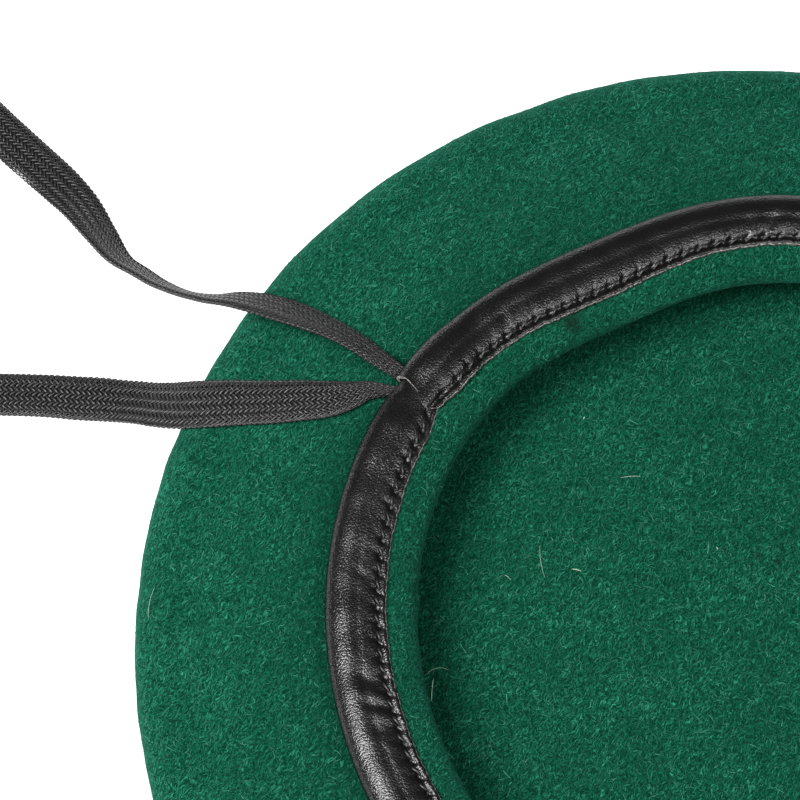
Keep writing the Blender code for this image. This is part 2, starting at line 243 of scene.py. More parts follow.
def settle(points, felt):
    """Moves points of the round form to the worn one, as the CAD does: the opening's dents go in or out, the band
    waves up and down, and the flange sinks or swells half way between band and rim."""
    moved = np.array(points, float)
    radius = np.hypot(moved[..., 0], moved[..., 1])
    angle = np.degrees(np.arctan2(moved[..., 1], moved[..., 0]))
    rim = felt.crown_radius - felt.rim_round
    binding = felt.binding_radius
    raised = ease(moved[..., 2], 2 * felt.wall, felt.rim_height)
    band = raised * (1 - ease(radius, binding + felt.leather, rim))
    middle, half = (binding + rim) / 2, (rim - binding) / 2
    flange = raised * (1 - ((radius - middle) / half) ** 2).clip(0, 1)
    wave = np.sin(np.radians(2 * angle - 20.0)) * 0.035 * felt.band_height
    push = band * dent(angle, OPENING_DENTS) * binding
    scale = 1 + push / np.maximum(radius, (binding - felt.collar_reach) / 2)
    moved[..., 0] *= scale
    moved[..., 1] *= scale
    moved[..., 2] += band * wave + flange * dent(angle, FLANGE_DENTS) * felt.rim_height
    return moved


def collar_z(felt):
    """Height of the collar's middle line before its own fall: half a wall, a gap and the leather below the band."""
    return felt.band_height - felt.leather - felt.gap - felt.wall / 2


def lip_middle(felt):
    """Radius at which the lip's round has its middle."""
    return felt.binding_radius - felt.collar_reach + felt.wall / 2 + felt.lip_round


def lip_height(felt):
    """Height of that middle, so that the round ends at the collar's first station."""
    climb = collar_z(felt) - COLLAR_STATIONS[0][1]
    return climb + felt.lip_round * math.sin(math.radians(LIP_TURN))


def collar_end(felt):
    """Radius at which the collar ends, two gaps inside the cord's channel."""
    channel = felt.binding_radius - felt.leather - 3 * felt.gap - felt.casing_cord / 2
    return channel - felt.casing_cord / 2 - 2 * felt.gap


def felt_line(felt):
    """The felt's middle line as (radius, height): crown, rim, flange, lip and collar."""
    rim_radius = felt.crown_radius - felt.wall / 2
    start = rim_radius - felt.rim_round
    low, high = felt.wall / 2, felt.rim_height - felt.wall / 2
    crown = np.stack([start * np.array([0.0, 0.25, 0.5, 0.8, 0.95, 0.985, 1.0]), np.full(7, low)], 1)
    turn = np.radians(np.linspace(-72, 66, 9))
    rim = np.stack([start + felt.rim_round * np.cos(turn), (low + high) / 2 + (high - low) / 2 * np.sin(turn)], 1)
    bend = lip_middle(felt)
    flange_z = collar_z(felt) - (felt.wall + felt.leather + felt.gap + felt.slack)
    share = np.array(FLANGE_STATIONS)
    flange = np.stack([bend + (start - bend) * share[:, 0], high + (flange_z - high) * share[:, 1]], 1)
    turn = np.radians(np.linspace(-90, -LIP_TURN, 8))
    lip = np.array([bend, lip_height(felt)]) + felt.lip_round * np.stack([np.cos(turn), np.sin(turn)], 1)
    share = np.array(COLLAR_STATIONS)[1:]
    first = lip[-1, 0]
    collar = np.stack([first + (collar_end(felt) - first) * share[:, 0], collar_z(felt) - share[:, 1]], 1)
    return np.vstack([crown, rim, flange, lip, collar])


def collar_height(radius, felt):
    """Height of the collar's middle line at a radius, straight between its stations."""
    first = lip_middle(felt) + felt.lip_round * math.cos(math.radians(LIP_TURN))
    share = np.array(COLLAR_STATIONS)
    return np.interp(radius, first + (collar_end(felt) - first) * share[:, 0], collar_z(felt) - share[:, 1])


def turned(outline, angles):
    """Rows of an outline of (radius, height), columns of angles in radians: x = r cos a, y = r sin a, z = h."""
    radius, height = outline[:, :1], outline[:, 1:]
    return np.stack(
        [radius * np.cos(angles), radius * np.sin(angles), np.broadcast_to(height, (len(outline), len(angles)))], -1
    )


def cells(rows, columns):
    """The corners of each cell of a grid whose points are numbered row by row and whose columns close."""
    row, column = np.arange(rows - 1)[:, None], np.arange(columns)
    beside = (column + 1) % columns
    corners = ((row, column), (row + 1, column), (row + 1, beside), (row, beside))
    return np.stack([down * columns + across for down, across in corners], -1).reshape(-1, 4)


def add_mesh(name, points, groups, material, marks=None, uv=None):
    """One mesh object from an array of points and one array of faces for each number of corners, riding on the
    part's body. The marks are named numbers on the points, and the UV map is given by point too."""
    mesh = bpy.data.meshes.new(name)
    corners = np.concatenate([group.ravel() for group in groups])
    totals = np.concatenate([np.full(len(group), group.shape[1]) for group in groups])
    mesh.vertices.add(len(points))
    mesh.loops.add(len(corners))
    mesh.polygons.add(len(totals))
    mesh.vertices.foreach_set("co", np.asarray(points, np.float32).ravel())
    for items, key, values in (
        (mesh.loops, "vertex_index", corners),
        (mesh.polygons, "loop_start", np.cumsum(totals) - totals),
        (mesh.polygons, "loop_total", totals),
    ):
        items.foreach_set(key, values.astype(np.int32))
    mesh.update(calc_edges=True)
    mesh.validate()
    mesh.shade_smooth()
    for mark, values in (marks or {}).items():
        attribute = mesh.attributes.new(mark, "FLOAT", "POINT")
        attribute.data.foreach_set("value", np.asarray(values, np.float32).ravel())
    if uv is not None:
        mesh.uv_layers.new(name="weave").data.foreach_set("uv", uv[corners].astype(np.float32).ravel())
    mesh.materials.append(material)
    made = bpy.data.objects.new(name, mesh)
    bpy.context.scene.collection.objects.link(made)
    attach(made, BODY)
    return made


# ---- Materials ----


class Wire:
    """A socket's value in a finish. Arithmetic on it adds Math nodes."""

    def __init__(self, finish, socket):
        self.finish, self.socket = finish, socket

    def maths(self, operation, *values):
        return self.finish.node("ShaderNodeMath", {"operation": operation}, dict(enumerate(values)))

    def __add__(self, other):
        return self.maths("ADD", self, other)

    def __mul__(self, other):
        return self.maths("MULTIPLY", self, other)

    def __rsub__(self, other):
        return self.maths("SUBTRACT", other, self)

    __radd__ = __add__
    __rmul__ = __mul__

    def step(self, low, high):
        """0 below low and 1 above high, smooth between them."""
        return self.finish.node(
            "ShaderNodeMapRange",
            {"interpolation_type": "SMOOTHSTEP", "clamp": True},
            {"Value": self, "From Min": low, "From Max": high},
        )


class Finish:
    """A material whose nodes are added one by one."""

    def __init__(self, name):
        self.material = bpy.data.materials.new(name)
        self.material.use_nodes = True
        self.tree = self.material.node_tree
        self.shader = self.tree.nodes["Principled BSDF"]

    def put(self, socket, value):
        if isinstance(value, Wire):
            self.tree.links.new(value.socket, socket)
        elif hasattr(socket.default_value, "__len__") and len(socket.default_value) == 4 and len(value) == 3:
            socket.default_value = (*value, 1.0)
        else:
            socket.default_value = value

    def node(self, kind, settings=None, sockets=None, output=0):
        """Any node, from its settings and the values or links of its sockets. Gives the wire of its output."""
        made = self.tree.nodes.new(kind)
        for name, value in (settings or {}).items():
            setattr(made, name, value)
        for name, value in (sockets or {}).items():
            self.put(made.inputs[name], value)
        return Wire(self, made.outputs[output])

    def noise(self, place, scale, detail=2.0, rough=0.5, output="Fac"):
        sockets = {"Vector": place, "Scale": scale, "Detail": detail, "Roughness": rough}
        return self.node("ShaderNodeTexNoise", {}, sockets, output)

    def bent(self, place, scale, reach):
        """Places that a coloured noise moves by up to the reach."""
        drift = self.noise(place, scale, 1.0, output="Color")
        return self.node("ShaderNodeVectorMath", {"operation": "MULTIPLY_ADD"}, {0: drift, 1: (reach,) * 3, 2: place})

    def mix(self, share, low, high):
        """A colour between two."""
        made = self.tree.nodes.new("ShaderNodeMix")
        made.data_type = "RGBA"
        for at, value in ((0, share), (6, low), (7, high)):
            self.put(made.inputs[at], value)
        return Wire(self, made.outputs[2])

    def places(self):
        """Object coordinates in metres."""
        return self.node("ShaderNodeTexCoord", {}, {}, "Object")

    def mark(self, name):
        return self.node("ShaderNodeAttribute", {"attribute_name": name}, {}, "Fac")

    def bump(self, height, distance, strength=0.8):
        return self.node("ShaderNodeBump", {}, {"Height": height, "Distance": distance, "Strength": strength})

    def surface(self, **sockets):
        for name, value in sockets.items():
            self.put(self.shader.inputs[name.replace("_", " ")], value)
        return self.material


# Directions of the felt's painted fibres in radians, and how many noise cells a metre holds along each axis
FELT_LANES = (0.25, 1.05, 1.85, 2.65)
LANE_SCALE = (620.0, 3300.0, 1700.0)


def felt_finish(tones):
    """Milled wool: light fibres in four directions over a green ground, with slow mottling, the dark spots, of which
    two are painted shadow beside the crown's knots, and painted shade towards the binding.
    """
    finish = Finish("green_wool_felt")
    place = finish.places()
    bent = finish.bent(place, 430.0, 0.0024)
    strands = finish.noise(place, 5200.0, 0.0).step(0.72, 0.80)
    for turn in FELT_LANES:
        sockets = {"Vector": bent, "Rotation": (0.0, 0.0, turn), "Location": (turn, 0.0, turn), "Scale": LANE_SCALE}
        lane = finish.node("ShaderNodeMapping", {}, sockets)
        strands = strands.maths("MAXIMUM", strands, finish.noise(lane, 1.0, 1.0, 0.55).step(0.60, 0.76))
    fine = finish.noise(bent, 2300.0, 2.0, 0.65)
    tufts = finish.noise(place, 620.0, 2.0, 0.6)
    mottle = finish.noise(place, 75.0, 3.0, 0.55)
    grain = fine.step(0.42, 0.68) * (0.55 + tufts.step(0.3, 0.7) * 0.45)
    ground = finish.mix(grain, tones.felt_dark, tones.felt_base)
    tinted = finish.mix(strands * (0.35 + mottle.step(0.3, 0.7) * 0.4), ground, tones.felt_light)
    ragged = finish.noise(place, 260.0, 2.0)
    # Dark spots: a real smudge beside the leather, and painted shadow beside the knots inside the crown
    for middle, size, share in STAINS_AND_KNOT_SHADOWS:
        away = finish.node("ShaderNodeVectorMath", {"operation": "DISTANCE"}, {0: place, 1: middle}, "Value")
        tinted = finish.mix((1 - (away + ragged * size).step(size * 0.6, size * 1.5)) * share, tinted, tones.stain_and_knot_shadow)
    # Painted shade: the felt's colour darkens towards the leather binding, in place of the shade that the band casts
    # on the flange
    wear_and_shade = finish.mix(finish.mark("pressed_and_band_shade") * 0.42, tinted, tones.felt_dark)
    height = fine * 0.5 + strands * 0.6 + tufts * 0.5
    return finish.surface(
        Base_Color=wear_and_shade,
        Roughness=0.95,
        Specular_IOR_Level=0.04,
        Sheen_Weight=0.20,
        Sheen_Roughness=0.5,
        Sheen_Tint=tones.sheen,
        Normal=finish.bump(height, 0.00040),
    )


def nap_finish(tones):
    """Single wool fibres: each between dark and light green by its own mark."""
    finish = Finish("green_wool_nap")
    tone = finish.mix(finish.mark("tone"), tones.felt_base, tones.nap_light)
    return finish.surface(Base_Color=tone, Roughness=0.7, Specular_IOR_Level=0.25)


def leather_finish(tones):
    """Black leather with a pebbled grain, a slowly changing gloss, and pale raw fibre where it is cut."""
    finish = Finish("black_grain_leather")
    place = finish.places()
    sockets = {"Vector": finish.bent(place, 900.0, 0.0002), "Scale": 2600.0, "Smoothness": 0.35}
    pebble = finish.node("ShaderNodeTexVoronoi", {"feature": "SMOOTH_F1"}, sockets, "Distance")
    wear_and_shade = finish.noise(place, 130.0, 3.0, 0.6)
    raw = finish.mark("raw")
    grain = finish.mix(pebble.step(0.1, 0.75), tones.leather, tones.leather_dark)
    fibre = finish.mix(finish.noise(place, 1900.0, 3.0, 0.7).step(0.35, 0.65), tones.leather, tones.raw)
    return finish.surface(
        Base_Color=finish.mix(raw.step(0.35, 0.65), grain, fibre),
        Roughness=0.27 + wear_and_shade.step(0.3, 0.7) * 0.05 + raw * 0.4,
        Specular_IOR_Level=0.6,
        Normal=finish.bump(1 - pebble, 0.00008, 1.0),
    )


def yarn_finish(name, tones, along_scale):
    """Dull yarn made of many filaments, which run along each strand as its UV map gives."""
    finish = Finish(name)
    uv = finish.node("ShaderNodeUVMap", {"uv_map": "weave"})
    place = finish.node("ShaderNodeMapping", {}, {"Vector": uv, "Scale": (along_scale, 9.0, 1.0)})
    filaments = finish.noise(place, 1.0, 2.0, 0.6)
    body = finish.mix(finish.mark("tone"), tones.yarn, tones.yarn_light)
    return finish.surface(
        Base_Color=finish.mix(filaments.step(0.3, 0.7), tones.yarn_dark, body),
        Roughness=0.42,
        Specular_IOR_Level=0.60,
        Normal=finish.bump(filaments, 0.00008),
    )


def plain_finish(name, base, roughness, scale=900.0):
    """A small piece's finish: one colour that a fine noise lightens a little."""
    finish = Finish(name)
    grain = finish.noise(finish.places(), scale, 2.0)
    lighter = tuple(min(1.0, channel * 1.5) for channel in base)
    return finish.surface(Base_Color=finish.mix(grain, tuple(base), lighter), Roughness=roughness)


# ---- Felt ----


def felt_outline(felt):
    """The closed outline of the felt's wall: the middle line moved half a wall to each side, fine inside and
    coarser outside, with a round turn at the collar's edge."""
    line = felt_line(felt)
    inside = through(line, 0.00135)
    outside = through(line, 0.00215)[::-1]
    half = felt.wall / 2
    inner = inside - side_of(inside) * half
    outer = outside - side_of(outside) * half
    inner[0], outer[-1] = (0.0, felt.wall), (0.0, 0.0)
    end = inside[-1]
    run = inside[-1] - inside[-2]
    run /= np.linalg.norm(run)
    out = -side_of(inside)[-1]
    turn = np.radians(np.array([30.0, 60.0, 90.0, 120.0, 150.0]))[:, None]
    cap = end + half * (out * np.cos(turn) + run * np.sin(turn))
    return np.vstack([inner, cap, outer])


# Radii where the crown's inner hollows fade out and where the rim's small dints set in, and the heights and radii
# where the felt passes under the leather and stays smooth
CROWN_FADE, RIM_DINTS = (0.09, 0.118), (0.128, 0.134)
COVERED_HIGH, COVERED_OUT = (0.0225, 0.0250), (0.096, 0.102)
# Heights and radii where the painted shade beside the binding sets in, and how far out it reaches
BAND_SHADE_HIGH, BAND_SHADE_IN, BAND_SHADE_REACH = (0.012, 0.017), (0.091, 0.0945), 0.0085


def felt_points(felt):
    """The felt's surface as a grid: the outline turned round the axis, settled, with soft hollows left by the
    hand, small dints along the rim and the low knots inside the crown."""
    outline = felt_outline(felt)
    angles = np.linspace(0, 2 * np.pi, felt.columns, endpoint=False)
    points = settle(turned(outline, angles), felt)
    radius = np.hypot(points[..., 0], points[..., 1])
    high = points[..., 2]
    raised = ease(high, 0.004, 0.010)
    soft = waves(points, 0.0068, WAVE_ROWS) * 0.00022 + waves(points, 0.0021, WAVE_ROWS[::-1]) * 0.00005
    free = 1 - ease(high, *COVERED_HIGH) * (1 - ease(radius, *COVERED_OUT))
    inside = (high > felt.wall * 0.9) & (high < 0.006) & (radius < CROWN_FADE[1])
    points[..., 2] += soft * raised * free
    hollow = waves(points, 0.011, WAVE_ROWS) * 0.00045
    points[..., 2] += np.where(inside, (hollow + 0.0005) * (1 - ease(radius, *CROWN_FADE)), 0.0)
    for x, y, spread, rise in KNOTS:
        away = np.hypot(points[..., 0] - x, points[..., 1] - y)
        points[..., 2] += np.where(inside, rise * bell(away, 0.0, spread), 0.0)
    rim = ease(radius, *RIM_DINTS)
    bumps = waves(points, 0.0032, WAVE_ROWS) * 0.00030
    points[..., :2] *= (1 + rim * (bumps - 0.0001) / felt.crown_radius)[..., None]
    return points


def pressed_and_band_shade(points, felt):
    """Painted shade beside the binding, standing in for the shade that the band casts on the flange: 1 at its outer
    fold, falling off over a finger's width.
    """
    radius = np.hypot(points[..., 0], points[..., 1])
    out = (radius - felt.binding_radius).clip(0.0, None)
    near = np.exp(-((out / BAND_SHADE_REACH) ** 1.5))
    return near * ease(points[..., 2], *BAND_SHADE_HIGH) * ease(radius, *BAND_SHADE_IN)


def felt_faces(points):
    """Cells between the two poles and a fan of triangles at each pole, numbered after the first pole."""
    rows, columns = points.shape[:2]
    ring = np.arange(columns)
    beside = (ring + 1) % columns
    last = 1 + (rows - 3) * columns
    first_fan = np.stack([np.zeros(columns, int), 1 + ring, 1 + beside], 1)
    last_fan = np.stack([last + beside, last + ring, np.full(columns, last + columns)], 1)
    return [cells(rows - 2, columns) + 1, first_fan, last_fan]


class BERET_OT_felt(bpy.types.Operator):
    """The whole felt in one closed surface: crown, rim, flange, lip and collar"""

    bl_idname = "beret.felt"
    bl_label = "Felt body"

    def execute(self, context):
        felt = context.scene.beret_felt
        points = felt_points(felt)
        flat = np.vstack([points[0, :1], points[1:-1].reshape(-1, 3), points[-1, :1]])
        finish = felt_finish(context.scene.beret_tones)
        # This mark holds the painted shade beside the binding
        marks = {"pressed_and_band_shade": pressed_and_band_shade(flat, felt)}
        made = add_mesh("felt_body", flat, felt_faces(points), finish, marks)
        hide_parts("felt_shell")
        return {"FINISHED"}


# ---- Nap ----


# What the nap leaves out or tells apart, in metres: the leather's cover, the crown's inside, where the crown
# rests, and where the rim begins
LEATHER_LOW, LEATHER_IN, LEATHER_OUT = 0.0215, 0.083, 0.0955
CROWN_HIGH, CROWN_OUT = 0.009, 0.120
RESTING, RIM_IN = 0.0008, 0.126
# Points along a fibre, the share of fibres whose tips stand free, and how deep a root sits in metres
FIBRE_POINTS, FREE_SHARE, ROOT_DEPTH = 4, 0.35, 0.00004


def scatter(points, region, count, rng):
    """Random places on the cells of a region of a grid surface, in proportion to each cell's area. Gives place,
    outward normal and a tangent."""
    here, below = points[:-1], points[1:]
    beside, across = np.roll(here, -1, 1), np.roll(below, -1, 1)
    first, second = across - here, beside - below
    normal = np.cross(first, second) / 2
    area = np.linalg.norm(normal, axis=-1)
    chance = area * region
    picked = rng.choice(area.size, count, p=(chance / chance.sum()).ravel())
    row, column = np.unravel_index(picked, area.shape)
    u, v = rng.random((2, count, 1))
    place = (
        here[row, column] * (1 - u) * (1 - v)
        + below[row, column] * u * (1 - v)
        + beside[row, column] * (1 - u) * v
        + across[row, column] * u * v
    )
    return place, unit(normal[row, column]), unit(first[row, column])


def fibres(place, normal, tangent, length, width, lift, curl, rng):
    """Flat curled fibres. Each leaves its root along a random direction in the surface, turns by its curl and
    rises by its lift: heading a(t) = a0 + curl t, height h(t) = lift sin(pi t)^0.8, or lift t^1.2 for a free one.
    Its width falls to a quarter at the tip."""
    count, points = len(place), FIBRE_POINTS
    side = np.cross(normal, tangent)
    share = np.linspace(0, 1, points)
    heading = rng.random(count)[:, None] * 2 * np.pi + (curl * rng.normal(size=count))[:, None] * share
    step = (length / (points - 1))[:, None]
    x = np.cumsum(np.cos(heading) * step, 1) - np.cos(heading[:, :1]) * step
    y = np.cumsum(np.sin(heading) * step, 1) - np.sin(heading[:, :1]) * step
    free = rng.random(count)[:, None] < FREE_SHARE
    rise = np.where(free, share**1.2, np.sin(np.pi * share) ** 0.8) * lift[:, None] - ROOT_DEPTH
    middle = (
        place[:, None]
        + x[..., None] * tangent[:, None]
        + y[..., None] * side[:, None]
        + rise[..., None] * normal[:, None]
    )
    run = unit(np.gradient(middle, axis=1))
    across = unit(np.cross(run, normal[:, None]))
    roll = rng.normal(size=count)[:, None, None] * 0.6
    across = across * np.cos(roll) + normal[:, None] * np.sin(roll)
    half = (width / 2)[:, None] * (1 - 0.75 * share**2)
    edges = np.stack([middle - across * half[..., None], middle + across * half[..., None]], 2)
    base = np.arange(count)[:, None] * points * 2 + np.arange(points - 1) * 2
    faces = np.stack([base, base + 2, base + 3, base + 1], -1).reshape(-1, 4)
    return edges.reshape(-1, 3), faces


def nap_regions(points):
    """The cells of the felt's grid that each nap mesh grows on: the crown's inside, all that shows around it, and
    the rim once more. None grows under the leather or where the crown rests on the floor."""
    here, below = points[:-1], points[1:]
    up = np.cross(np.roll(below, -1, 1) - here, np.roll(here, -1, 1) - below)[..., 2] > 0
    middle = (here + below) / 2
    radius, high = np.hypot(middle[..., 0], middle[..., 1]), middle[..., 2]
    bound = (high > LEATHER_LOW) & (radius > LEATHER_IN) & (radius < LEATHER_OUT)
    inner = up & (high < CROWN_HIGH) & (radius < CROWN_OUT)
    shown = up | (radius > CROWN_OUT) | (radius < LEATHER_IN)
    outer = ~inner & ~bound & shown & (high >= RESTING)
    return inner, outer, outer & (radius > RIM_IN)


class BERET_OT_nap(bpy.types.Operator):
    """Short curled wool fibres over the whole felt, in three meshes"""

    bl_idname = "beret.nap"
    bl_label = "Nap"

    def execute(self, context):
        nap = context.scene.beret_nap
        rng = np.random.default_rng(nap.seed)
        points = felt_points(context.scene.beret_felt)
        finish = nap_finish(context.scene.beret_tones)
        inner, outer, rim = nap_regions(points)
        for name, region, count, rise in (
            ("nap_crown", inner, nap.crown_fibres, 1.0),
            ("nap_flange", outer, nap.flange_fibres, 1.0),
            ("nap_rim", rim, nap.rim_fibres, 1.6),
        ):
            roots = scatter(points, region, count, rng)
            length = nap.length * np.exp(rng.normal(size=count) * 0.35)
            width = nap.width * np.exp(rng.normal(size=count) * 0.3)
            lift = nap.lift * np.exp(rng.normal(size=count) * 0.5) * rise
            flat, faces = fibres(*roots, length, width, lift, nap.curl, rng)
            flat[:, 2] = np.maximum(flat[:, 2], FLOOR_CLEAR)
            tone = np.repeat(rng.random(count) ** 1.5, 2 * FIBRE_POINTS)
            add_mesh(name, flat, [faces], finish, {"tone": tone})
        return {"FINISHED"}


# ---- Leather ----


# Where the leather's roll is highest, where it begins to fall and where it ends, in metres from the cut edge
ROLL_TOP, ROLL_FALL, ROLL_END = 0.0078, 0.0066, 0.0160


def leather_section(felt, leather):
    """The strip's outer face from the cut edge over the roll, round the fold and back below. Gives its points as
    (radius, height), their distances from the cut edge, their relief and the wall under them. The relief is how
    far the face stands off the plain fold: a flat margin, the groove that the stitches pull in, and the roll that
    the collar's edge and the cord fill."""
    leg = felt.wall / 2 + felt.gap + felt.leather / 2
    fold = felt.binding_radius - felt.leather / 2
    turn_start = fold - felt.fold_round
    cut = felt.binding_radius - felt.binding_width
    upper = np.linspace(cut, turn_start, 6)
    turn = np.radians(np.linspace(72, -68, 9))
    lower = np.linspace(turn_start, felt.binding_radius - felt.under_leg, 4)
    end_height = collar_height(collar_end(felt), felt)
    line = np.vstack(
        [
            np.stack([upper, collar_height(upper, felt) + leg], 1),
            np.stack([turn_start + felt.fold_round * np.cos(turn), end_height + leg * np.sin(turn)], 1),
            np.stack([lower, collar_height(lower, felt) - leg], 1),
        ]
    )
    line = through(line, 0.00052)
    place = along(line)
    climb = ((place - leather.margin - 0.0002) / (ROLL_TOP - leather.margin)).clip(0, 1)
    roll = (1 - (1 - climb) ** 1.8) * (1 - ease(place, ROLL_FALL, ROLL_END))
    relief = leather.roll * roll - leather.press * (1 - ease(place, leather.margin, 0.0125))
    relief -= leather.groove * bell(place, leather.margin + 0.0002, 0.00055)
    relief += 0.00015 * bell(place, 0.0009, 0.0006)
    wall = felt.leather * (0.62 + 0.38 * ease(place, leather.margin, leather.margin + 0.003))
    return line, place, relief, wall


# Columns of the strip's two faces, and the least height of its outer face above the felt
OUTER_COLUMNS, INNER_COLUMNS, OVER_FELT = 44, 14, 0.00016
# Metres over which one end of the strip rises onto the other, and degrees before its end where the lapping end
# begins to flatten and to bow
LAP_BLEND, TIP_FROM, BOW_FROM = 0.0070, 3.4, 3.0


def leather_points(felt, leather):
    """The strip's outer and inner face as two grids: rows of angles from the hidden end to the one that laps over
    it, columns from the cut edge round the fold. Gives both, the rows' angles and the columns' places."""
    line, place, relief, wall = leather_section(felt, leather)
    side = side_of(line)
    lap = math.degrees(felt.lap / felt.binding_radius)
    blend = math.degrees(LAP_BLEND / felt.binding_radius)
    pitch = stitch_angle(felt, leather)
    end = SEAM + 360.0
    angle = np.linspace(SEAM - lap, end, leather.rows)
    angle = np.concatenate([angle[:1], angle[:1] + 0.03, angle[1:-1], angle[-1:] - 0.03, angle[-1:]])
    under = 1 - ease(angle, SEAM + 0.3 * blend, SEAM + 1.6 * blend)
    over = ease(angle, end - lap - 1.6 * blend, end - lap - 0.2 * blend)
    tip = ease(angle, end - TIP_FROM, end)
    degrees = angle[:, None]
    turns = degrees % 360

    def face(across, inner):
        """One face at distances from the cut edge: the plain fold with its relief, less the wall if it is inner."""
        phase = (degrees - SEAM) / pitch * 2 * np.pi + (across - leather.margin) * leather.stitch_slant
        between = 0.5 + 0.5 * np.cos(phase)
        pulled = -leather.pucker * between**2 * bell(across, leather.margin + 0.0006, 0.0019)
        pulled = pulled * (1 + 0.4 * np.sin(degrees * 0.9))
        holes = -leather.hole * between**7 * bell(across, leather.margin + 0.0004, 0.0008)
        crease = -dent(turns + (across - 0.005) * 260.0, CREASES) * bell(across, 0.0050, 0.0028)
        swell = 0.00009 * (np.sin(degrees * 0.47) + 0.6 * np.sin(degrees * 1.13 + 0.7)) * bell(across, 0.0080, 0.004)
        stand = np.interp(across, place, relief) + pulled + holes + crease + swell
        stand = stand * (1 - (0.12 * under + leather.tip_flat * tip)[:, None] * ease(across, 0.004, 0.009))
        out = felt.leather / 2 + stand + (0.00052 * over - 0.00030 * under)[:, None]
        hidden = under * (1 - ease(angle, SEAM, SEAM + 2.2))
        out = out - leather.tuck * hidden[:, None] * bell(across, 0.0125, 0.004)
        out = np.maximum(out, OVER_FELT - felt.leather / 2 - felt.gap)
        if inner:
            out = out - np.interp(across, place, wall) * (1 - 0.45 * np.maximum(under, over))[:, None]
        wobble = 0.00006 * (np.sin(degrees * 1.7) + np.sin(degrees * 4.3 + 1.0) + np.sin(degrees * 0.61 + 2.0))
        wobble = wobble + 0.00005 * np.sin(degrees * 11.0 + 2 * np.sin(degrees * 2.9))
        widen = dent(turns, WIDE_PLACES) * (felt.binding_width - 0.004)
        reach = (wobble - widen) * (1 - ease(across, 0.0, 0.0085))
        radius = np.interp(across, place, line[:, 0]) + reach - np.interp(across, place, side[:, 0]) * out
        height = np.interp(across, place, line[:, 1]) - np.interp(across, place, side[:, 1]) * out
        if not inner:
            radius = radius + leather.slant * (1 - ease(across, 0.0, 0.0007))
        bow = leather.end_bow * (over * ease(angle, end - BOW_FROM, end))[:, None]
        shift = bow * (bell(across, 0.0030, 0.0030) * 1.3 - 0.45 * ease(across, 0.0075, 0.0110))
        theta = np.radians(degrees) + shift / felt.binding_radius
        return settle(np.stack([radius * np.cos(theta), radius * np.sin(theta), height], -1), felt)

    outer_at = np.interp(np.linspace(0, 1, OUTER_COLUMNS), (0.0, 0.50, 0.80, 1.0), (0.0, 0.0056, 0.0135, place[-1]))
    inner_at = np.interp(np.linspace(0, 1, INNER_COLUMNS), (0.0, 0.40, 1.0), (0.0, 0.0068, place[-1]))
    return face(outer_at[None, :], False), face(inner_at[None, :], True), angle, outer_at, inner_at


def stitch_angle(felt, leather):
    """Degrees from one stitch to the next along the margin."""
    return math.degrees(leather.stitch_pitch / (felt.binding_radius - felt.binding_width + leather.margin))


def end_faces(outer_at, inner_at):
    """Triangles that close one end of the strip between its outer and its inner face, zipped by place. Corners
    are numbered over one row of outer and then inner points."""
    outer_count = len(outer_at)
    near = np.searchsorted((inner_at[1:] + inner_at[:-1]) / 2, outer_at)
    at = np.arange(outer_count - 1)
    first = np.stack([at, at + 1, outer_count + near[:-1]], 1)
    moved = at[near[1:] > near[:-1]]
    second = np.stack([moved + 1, outer_count + near[moved + 1], outer_count + near[moved]], 1)
    return np.vstack([first, second])


class BERET_OT_leather(bpy.types.Operator):
    """The leather strip folded round the collar's edge, with its groove, roll, creases and lapped ends"""

    bl_idname = "beret.leather"
    bl_label = "Leather binding"

    def execute(self, context):
        felt, leather = context.scene.beret_felt, context.scene.beret_leather
        outer, inner, _angle, outer_at, inner_at = leather_points(felt, leather)
        rows, columns = outer.shape[0], outer.shape[1] + inner.shape[1]
        flat = np.concatenate([outer, inner[:, ::-1]], 1).reshape(-1, 3)
        cap = end_faces(outer_at, inner_at)
        cap = np.where(cap < len(outer_at), cap, len(outer_at) + columns - 1 - cap)
        groups = [cells(rows, columns)[:, ::-1], cap[:, ::-1], cap + (rows - 1) * columns]
        raw = np.zeros((rows, columns))
        raw[[0, -1]] = 1.0
        raw[:, [0, -1]] = 1.0
        finish = leather_finish(context.scene.beret_tones)
        made = add_mesh("leather_band", flat, groups, finish, {"raw": raw})
        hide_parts("leather_binding")
        return {"FINISHED"}


def tube(line, up, radii_across, radii_up, sides):
    """A closed tube along each line of a stack: rings of an oval whose two half axes are given at each point,
    across the line and towards up, and an end face with as many corners as a ring. The lines are
    stacks x points x 3, and up is the same or one direction."""
    run = unit(np.gradient(line, axis=1))
    across = unit(np.cross(run, up))
    turn = np.arange(sides) * 2 * np.pi / sides
    rings = (
        line[:, :, None]
        + across[:, :, None] * (np.cos(turn) * radii_across[..., None])[..., None]
        + np.cross(across, run)[:, :, None] * (np.sin(turn) * radii_up[..., None])[..., None]
    )
    stacks, count = line.shape[:2]
    start = (np.arange(stacks) * count * sides)[:, None]
    body = (cells(count, sides) + start[..., None]).reshape(-1, 4)
    ring = start + np.arange(sides)
    return rings.reshape(-1, 3), [body[:, ::-1], ring, (ring + (count - 1) * sides)[:, ::-1]]


def weave_map(run, stacks, sides, shift=0.0):
    """UV of the points of a stack of tubes: u is the run along each tube with its shift, v goes once round."""
    u = np.tile(np.repeat(run, sides), stacks) + shift
    return np.stack([u, np.tile(np.arange(sides) / sides, len(run) * stacks)], -1)


# Sides of a thread, of a braid's yarn and of a loose fibre
THREAD_SIDES, YARN_SIDES, LINT_SIDES = 6, 4, 5
# A stitch: the share of its pitch that it spans, then in metres its lean across the margin, how far it sits
# outside the margin's line, its rise in the middle and its droop into the holes
SPAN, LEAN, SET_OUT, RISE, DROOP = 0.84, 0.0013, 0.0004, 0.00046, 0.0003


